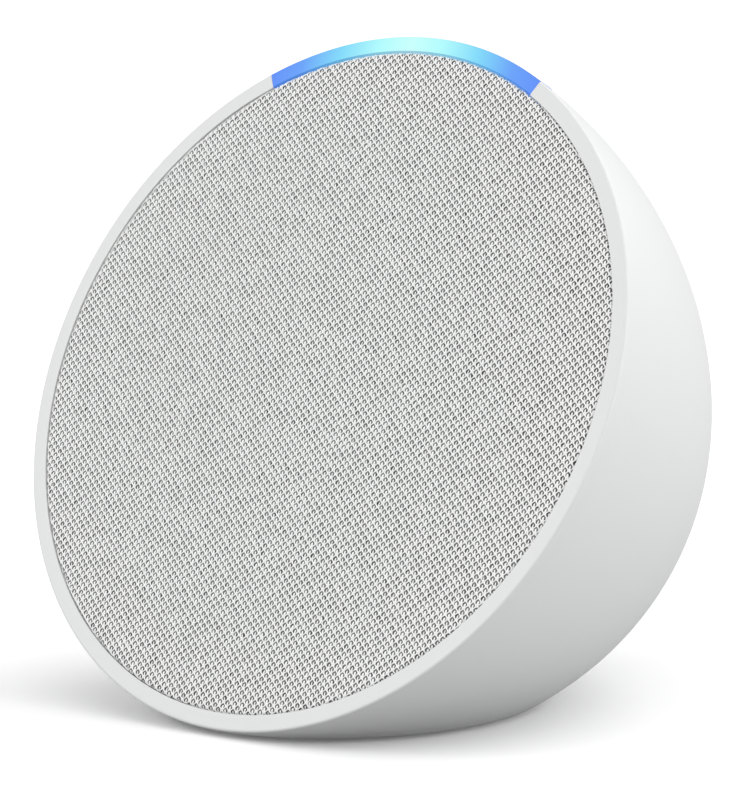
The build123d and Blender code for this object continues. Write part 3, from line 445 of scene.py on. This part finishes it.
# columns of stitches that lean left and right and touch their neighbours in turn
def stitchColumns(values, random):
    half = clothReach(values)
    pitch = values["wale"] / 2
    count = int(half / pitch)
    side, lift = strandSection(values["width"], values["height"], values["section"], 4)
    points, quads, start = [], [], 0
    for column in range(-count, count + 1):
        middle = column * pitch
        reach = math.sqrt(max(half**2 - middle**2, 0))
        first = math.ceil(-reach / values["course"] * values["steps"])
        last = math.floor(reach / values["course"] * values["steps"])
        if last - first < values["steps"]:
            continue
        station = np.arange(first, last + 1)
        phase = 2 * math.pi * station / values["steps"]
        lean = np.sin(phase) + values["kink"] * np.sin(3 * phase)
        way = 1 if column % 2 else -1
        rough = random.normal(0, values["wander"] / 2, len(station))
        centre = middle + way * values["swing"] * lean + rough
        up = station * values["course"] / values["steps"]
        puff = 1 + values["puff"] * np.cos(2 * phase)
        across = centre[:, None] + side[None, :]
        height = lift[None, :] * puff[:, None]
        spots = drape(across, np.broadcast_to(up[:, None], across.shape), height, values)
        points.append(spots.reshape(-1, 3))
        quads.append(gridFaces(len(station), len(side), start))
        start += spots.size // 3
    return np.concatenate(points), np.concatenate(quads)


# the short loop of yarn that rises into each opening from the stitch below it
def fillLoops(values, random):
    half = clothReach(values) - values["loopMargin"] * values["skirt"]
    pitch, rise = values["wale"] / 2, values["course"] / 2
    count, rows = int(half / pitch), int(half / rise)
    column, row = np.meshgrid(np.arange(-count, count + 1), np.arange(-rows, rows + 1))
    keep = (column + row) % 2 == 0
    middle = (column[keep] + 0.5) * pitch
    level = (row[keep] + 0.5) * rise
    inside = np.hypot(middle, level) < half
    middle, level = middle[inside], level[inside]
    side, lift = strandSection(values["loopWidth"], values["loopHeight"], values["section"], 3)
    along = np.array(values["loopPath"]) * values["course"]
    fullness = np.array(values["loopFullness"])
    puff = np.array(values["loopRise"]) * values["loopHeight"]
    lean = random.normal(0, values["loopLean"], len(middle)) * values["wale"]
    size = random.uniform(*values["loopSizes"], len(middle))
    across = middle[:, None, None] + side[None, None, :] * fullness[None, :, None] * size[:, None, None]
    tilt = along / values["course"] - values["loopPath"][0]
    across = across + lean[:, None, None] * tilt[None, :, None]
    up = level[:, None, None] + along[None, :, None] + np.zeros_like(across)
    height = lift[None, None, :] * fullness[None, :, None] + puff[None, :, None]
    spots = drape(across, up, height * size[:, None, None], values)
    one = gridFaces(len(along), len(side))
    starts = np.arange(len(middle)) * len(along) * len(side)
    quads = (one[None, :, :] + starts[:, None, None]).reshape(-1, 4)
    return spots.reshape(-1, 3), quads


# the thin dark cloth behind the knit, which also closes the sheet's edge; its near-black patches are painted
# shade of the dark depth behind it
def scrimSheet(values):
    over, past = values["scrimRings"]
    flat = values["radius"] - values["bend"]
    rolled = np.linspace(flat, clothReach(values), past)[1:]
    reach = np.concatenate([np.linspace(0.3 * mm, flat, over), rolled])
    turn = np.linspace(0, 2 * math.pi, values["scrimTurns"] + 1)
    across = reach[:, None] * np.cos(turn)[None, :]
    up = reach[:, None] * np.sin(turn)[None, :]
    spots = drape(across, up, np.full(across.shape, -values["scrimDrop"]), values)
    return spots.reshape(-1, 3), gridFaces(len(reach), len(turn))


def yarnFinish(values):
    shader = Shader("knit_yarn", {"Sheen Weight": 0.3, "Sheen Roughness": 0.5, "Specular IOR Level": 0.3})
    fibre = shader.noise(0.06 * mm, 3.0)
    patch = shader.noise(2.2 * mm, 2.0)
    tone = shader.mix(patch, shade(values["yarn"], 0.97), shade(values["yarn"], 1.01))
    shader.feed("Base Color", shader.mix(fibre * 0.25, tone, shade(values["yarn"], 0.82)))
    shader.feed("Roughness", 0.75 + fibre * 0.15)
    shader.bump(fibre, 0.02 * mm)
    return shader.material


def scrimAndShadeFinish(values):
    shader = Shader("knit_scrim_and_shade", {"Specular IOR Level": 0.15})
    thread = shader.noise(0.12 * mm, 2.0)
    # painted shade: where the mask is off, the cloth is made near black, as if seen through into the dark
    # behind it
    hole = shader.noise(0.7 * mm, 1.0) > 0.42
    depth = shader.mix(hole, shade(values["scrim"], 0.15), values["scrim"] + (1.0,))
    shader.feed("Base Color", shader.mix(thread * 0.5, depth, shade(values["scrim"], 1.4)))
    shader.feed("Roughness", 0.8 + thread * 0.15)
    shader.bump(thread, 0.02 * mm)
    return shader.material


def joinMeshes(first, second):
    points = np.concatenate([first[0], second[0]])
    return points, np.concatenate([first[1], second[1] + len(first[0])])


def makeFabric(values):
    random = np.random.default_rng(values["seed"])
    strands = joinMeshes(stitchColumns(values, random), fillLoops(values, random))
    knit = meshPiece("grille_knit", *strands)
    scrim = meshPiece("grille_scrim", *scrimSheet(values))
    knit.data.materials.append(yarnFinish(values))
    scrim.data.materials.append(scrimAndShadeFinish(values))
    for piece in (knit, scrim):
        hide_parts("grille_fabric")
    across = 2 * clothReach(values)
    area = math.pi * across**2 / 4
    print("knit made,", len(knit.data.polygons), "faces")


makeFabric(knitValues)


def dress(node, material):
    slots = nodes[node].data.materials
    slots.clear()
    slots.append(material)


dress("rear_shell", mouldedFinish("shell_white", shellValues["shell"]))
dress("foot_pad", mouldedFinish("foot_rubber", shellValues["foot"]))
dress("light_bar_diffuser", lightBarFinish(lightValues))
for name in ("volume_up", "mic_off", "volume_down"):
    dress(name + "_button", buttonFinish(name, shellValues["button"]))


# each finish has its kind, its values and the nodes that wear it
innerFinishes = {
    "grille_plastic": (mouldedFinish, {
        "colour": (0.2, 0.205, 0.21), "rough": 0.5, "grain": 0.2 * mm, "relief": 0.01 * mm,
    }, ["grille_plate"]),
    "baffle_plastic": (mouldedFinish, {
        "colour": (0.17, 0.175, 0.18), "rough": 0.48, "grain": 0.25 * mm, "relief": 0.012 * mm,
    }, ["baffle", "chamber_cup"]),
    "black_plastic": (mouldedFinish, {
        "colour": (0.03, 0.03, 0.033), "rough": 0.42, "grain": 0.15 * mm, "relief": 0.01 * mm,
        "variation": 0.15,
    }, ["driver_terminals", "switch_bodies", "main_board_connectors", "dc_jack_body",
        "volume_up_plunger", "mic_off_plunger", "volume_down_plunger"]),
    "foam_black": (mouldedFinish, {
        "colour": (0.035, 0.035, 0.038), "rough": 0.95, "grain": 0.35 * mm, "relief": 0.18 * mm,
        "variation": 0.3,
        "speck": 0.5, "specular": 0.15,
    }, ["grille_gasket", "chamber_gasket", "driver_gasket", "mic_gaskets"]),
    "surround_rubber": (mouldedFinish, {
        "colour": (0.022, 0.022, 0.023), "rough": 0.55, "grain": 0.12 * mm, "relief": 0.008 * mm,
        "variation": 0.12,
        "specular": 0.4,
    }, ["surround"]),
    "cone_paper": (mouldedFinish, {
        "colour": (0.04, 0.04, 0.043), "rough": 0.85, "grain": 0.3 * mm, "relief": 0.05 * mm,
        "variation": 0.25,
        "speck": 0.4, "cloud": 3 * mm, "specular": 0.2,
    }, ["cone", "dust_cap"]),
    "former_film": (mouldedFinish, {
        "colour": (0.42, 0.2, 0.04), "rough": 0.2, "grain": 0.5 * mm, "relief": 0.003 * mm, "coat": 0.4,
    }, ["voice_coil_former"]),
    "ferrite": (mouldedFinish, {
        "colour": (0.055, 0.056, 0.06), "rough": 0.5, "grain": 0.18 * mm, "relief": 0.02 * mm,
        "variation": 0.2,
        "metal": 0.3, "speck": 0.3,
    }, ["magnet"]),
    "basket_paint": (mouldedFinish, {
        "colour": (0.028, 0.028, 0.03), "rough": 0.38, "grain": 0.5 * mm, "relief": 0.01 * mm,
        "variation": 0.1,
        "coat": 0.2,
    }, ["driver_basket"]),
    "chip_epoxy": (mouldedFinish, {
        "colour": (0.022, 0.022, 0.025), "rough": 0.6, "grain": 0.08 * mm, "relief": 0.006 * mm,
        "variation": 0.2,
    }, ["main_board_chips", "microphones"]),
    "thermal_pad": (mouldedFinish, {
        "colour": (0.33, 0.4, 0.55), "rough": 0.8, "grain": 0.25 * mm, "relief": 0.02 * mm, "variation": 0.08,
    }, ["thermal_pad"]),
    "reflector_white": (mouldedFinish, {
        "colour": (0.85, 0.85, 0.85), "rough": 0.35, "grain": 0.2 * mm, "relief": 0.004 * mm,
        "variation": 0.02,
    }, ["light_bar_reflector"]),
    "led_phosphor": (mouldedFinish, {
        "colour": (0.9, 0.85, 0.45), "rough": 0.2, "grain": 0.1 * mm, "relief": 0.004 * mm, "coat": 0.8,
    }, ["light_bar_leds"]),
    "cable_white": (mouldedFinish, {
        "colour": (0.76, 0.76, 0.74), "rough": 0.5, "grain": 0.4 * mm, "relief": 0.01 * mm, "variation": 0.05,
    }, ["light_cable", "ribbon_cable"]),
    "cable_black": (mouldedFinish, {
        "colour": (0.03, 0.03, 0.03), "rough": 0.45, "grain": 0.4 * mm, "relief": 0.01 * mm,
        "variation": 0.15,
    }, ["speaker_wires", "power_wires"]),
    "zinc_steel": (brushedFinish, {
        "colour": (0.56, 0.57, 0.58), "rough": 0.36, "grain": 0.1 * mm, "relief": 0.006 * mm, "stain": 3 * mm,
    }, ["ballast_plate", "ballast_screws", "baffle_screws", "chamber_screws", "driver_screws", "top_plate",
        "back_plate", "button_board_screws", "main_board_screws"]),
    "tinned_shield": (brushedFinish, {
        "colour": (0.68, 0.68, 0.67), "rough": 0.28, "grain": 0.15 * mm, "relief": 0.004 * mm,
    }, ["shield_can"]),
    "aluminium": (brushedFinish, {
        "colour": (0.72, 0.73, 0.74), "rough": 0.34, "grain": 0.12 * mm, "relief": 0.008 * mm,
        "stretch": (1.0, 0.08, 0.08),
    }, ["heat_sink"]),
    "plated_contact": (brushedFinish, {
        "colour": (0.78, 0.66, 0.38), "rough": 0.22, "grain": 0.08 * mm, "relief": 0.003 * mm,
        "stain": 1 * mm,
        "stretch": (1.0, 0.08, 1.0),
    }, ["dc_jack_pin", "dc_jack_spring", "antennas"]),
    "coil_copper": (windingFinish, {"colour": (0.75, 0.33, 0.16), "wire": 0.22 * mm}, ["voice_coil"]),
    "lead_copper": (windingFinish, {"colour": (0.72, 0.38, 0.22), "wire": 0.16 * mm}, ["tinsel_leads"]),
    "spider_cloth": (clothFinish, {"colour": (0.62, 0.42, 0.14), "thread": 0.4 * mm}, ["spider"]),
    "circuit_board": (boardFinish, {
        "mask": (0.012, 0.1, 0.045), "overCopper": (0.025, 0.19, 0.08), "plating": (0.8, 0.68, 0.42),
        "track": 0.7 * mm, "holes": 2.6 * mm,
    }, ["main_board", "button_board", "light_bar_board"]),
}

for name, (finish, values, wearers) in innerFinishes.items():
    material = finish(name, values)
    for node in wearers:
        dress(node, material)
print("finishes set")


# each is copied into a new piece in place of its node; in the driver it bends with the cone, standing still
# outside one radius and riding with the cone inside the other
softPieces = {
    "surround": {"still": 22.1 * mm, "moving": 18.6 * mm, "slot": "surround_rubber"},
    "spider": {"still": 13.0 * mm, "moving": 7.45 * mm, "slot": "spider_cloth"},
    "tinsel_leads": {"still": 13.0 * mm, "moving": 7.45 * mm, "slot": "copper"},
}


# the mesh is laid out by radius along X while the piece's transform is baked, and then put back
def makeSoft(node):
    source = nodes[node]
    mesh = source.data.copy()
    mesh.transform(source.matrix_world)
    piece = bpy.data.objects.new("soft_" + node, mesh)
    bpy.context.scene.collection.objects.link(piece)
    places = np.array([vertex.co for vertex in mesh.vertices])
    offsets = places - np.array(faceCentre)
    offsets -= np.outer(offsets @ np.array(faceOut), np.array(faceOut))
    laid = np.zeros_like(places)
    laid[:, 0] = np.linalg.norm(offsets, axis=1)
    mesh.vertices.foreach_set("co", laid.ravel())
    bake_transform(piece)
    mesh.vertices.foreach_set("co", places.ravel())
    mesh.update()
    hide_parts(node)


for name, values in softPieces.items():
    makeSoft(name)
print("soft driver pieces made,", len(softPieces))


stageValues = {
    "floor": 0.94,
    "floorGlow": 0.08,
    "bounce": 0.5,  # how pale the floor is to the light that it throws back
    "floorSize": 40.0,
    "floorPoints": 9,  # points along each side
    "floorGap": 0.2 * mm,  # between the floor that is seen and the one below it
    "sky": 0.56,  # the light from all round
    "backdrop": 1.0,  # how bright the room looks behind the floor
    "spread": 55,  # degrees across each sun
    "suns": [  # where each soft light comes from and its strength
        ((1.0, 0.3, 0.25), 1.62),
        ((0.2, -0.2, 1.0), 0.54),
        ((-0.6, -1.0, 0.5), 1.22),
        ((0.3, 0.9, 0.9), 0.98),
    ],
}


def plainFinish(name, level, glow):
    constants = {"Roughness": 0.9, "Specular IOR Level": 0.0, "Emission Strength": glow}
    constants["Emission Color"] = grey(1.0)
    shader = Shader(name, constants)
    tone = shader.noise(300 * mm, 1.0)
    shader.feed("Base Color", shader.mix(tone, grey(level), grey(level + 0.01)))
    return shader.material


def makeFloor(name, height, material, values):
    half = values["floorSize"] / 2
    count = values["floorPoints"]
    steps = np.linspace(-half, half, count)
    across, along = np.meshgrid(steps, steps)
    points = np.stack([across, along, np.full_like(across, height)], axis=-1).reshape(-1, 3)
    mesh = bpy.data.meshes.new(name)
    mesh.from_pydata(points.tolist(), [], gridFaces(count, count).tolist())
    floor = bpy.data.objects.new(name, mesh)
    bpy.context.scene.collection.objects.link(floor)
    floor.data.materials.append(material)
    return floor


# a white floor to look at, and a greyer one just under it that throws light back, as a studio sweep does
def makeStage(values):
    white = plainFinish("floor_white", values["floor"], values["floorGlow"])
    seen = makeFloor("floor", 0, white, values)
    seen.visible_diffuse = False
    seen.visible_glossy = False
    seen.visible_shadow = False
    dull = plainFinish("floor_grey", values["bounce"], 0.0)
    bounce = makeFloor("floor_bounce", -values["floorGap"], dull, values)
    bounce.visible_camera = False
    world = bpy.data.worlds.new("studio")
    world.use_nodes = True
    tree = world.node_tree
    light = tree.nodes["Background"]
    light.inputs["Strength"].default_value = values["sky"]
    light.inputs["Color"].default_value = grey(1.0)
    room = tree.nodes.new("ShaderNodeBackground")
    room.inputs["Color"].default_value = grey(1.0)
    room.inputs["Strength"].default_value = values["backdrop"]
    choice = tree.nodes.new("ShaderNodeMixShader")
    tree.links.new(tree.nodes.new("ShaderNodeLightPath").outputs["Is Camera Ray"], choice.inputs[0])
    tree.links.new(light.outputs[0], choice.inputs[1])
    tree.links.new(room.outputs[0], choice.inputs[2])
    tree.links.new(choice.outputs[0], tree.nodes["World Output"].inputs["Surface"])
    bpy.context.scene.world = world
    for index, (origin, strength) in enumerate(values["suns"]):
        data = bpy.data.lights.new(f"sun{index}", "SUN")
        data.energy = strength
        data.angle = math.radians(values["spread"])
        sun = bpy.data.objects.new(f"sun{index}", data)
        bpy.context.scene.collection.objects.link(sun)
        sun.rotation_euler = (-Vector(origin)).to_track_quat("-Z", "Y").to_euler()


makeStage(stageValues)
bpy.context.scene.view_settings.view_transform = "Standard"
bpy.context.scene.view_settings.look = "None"
print("stage and lamps made")
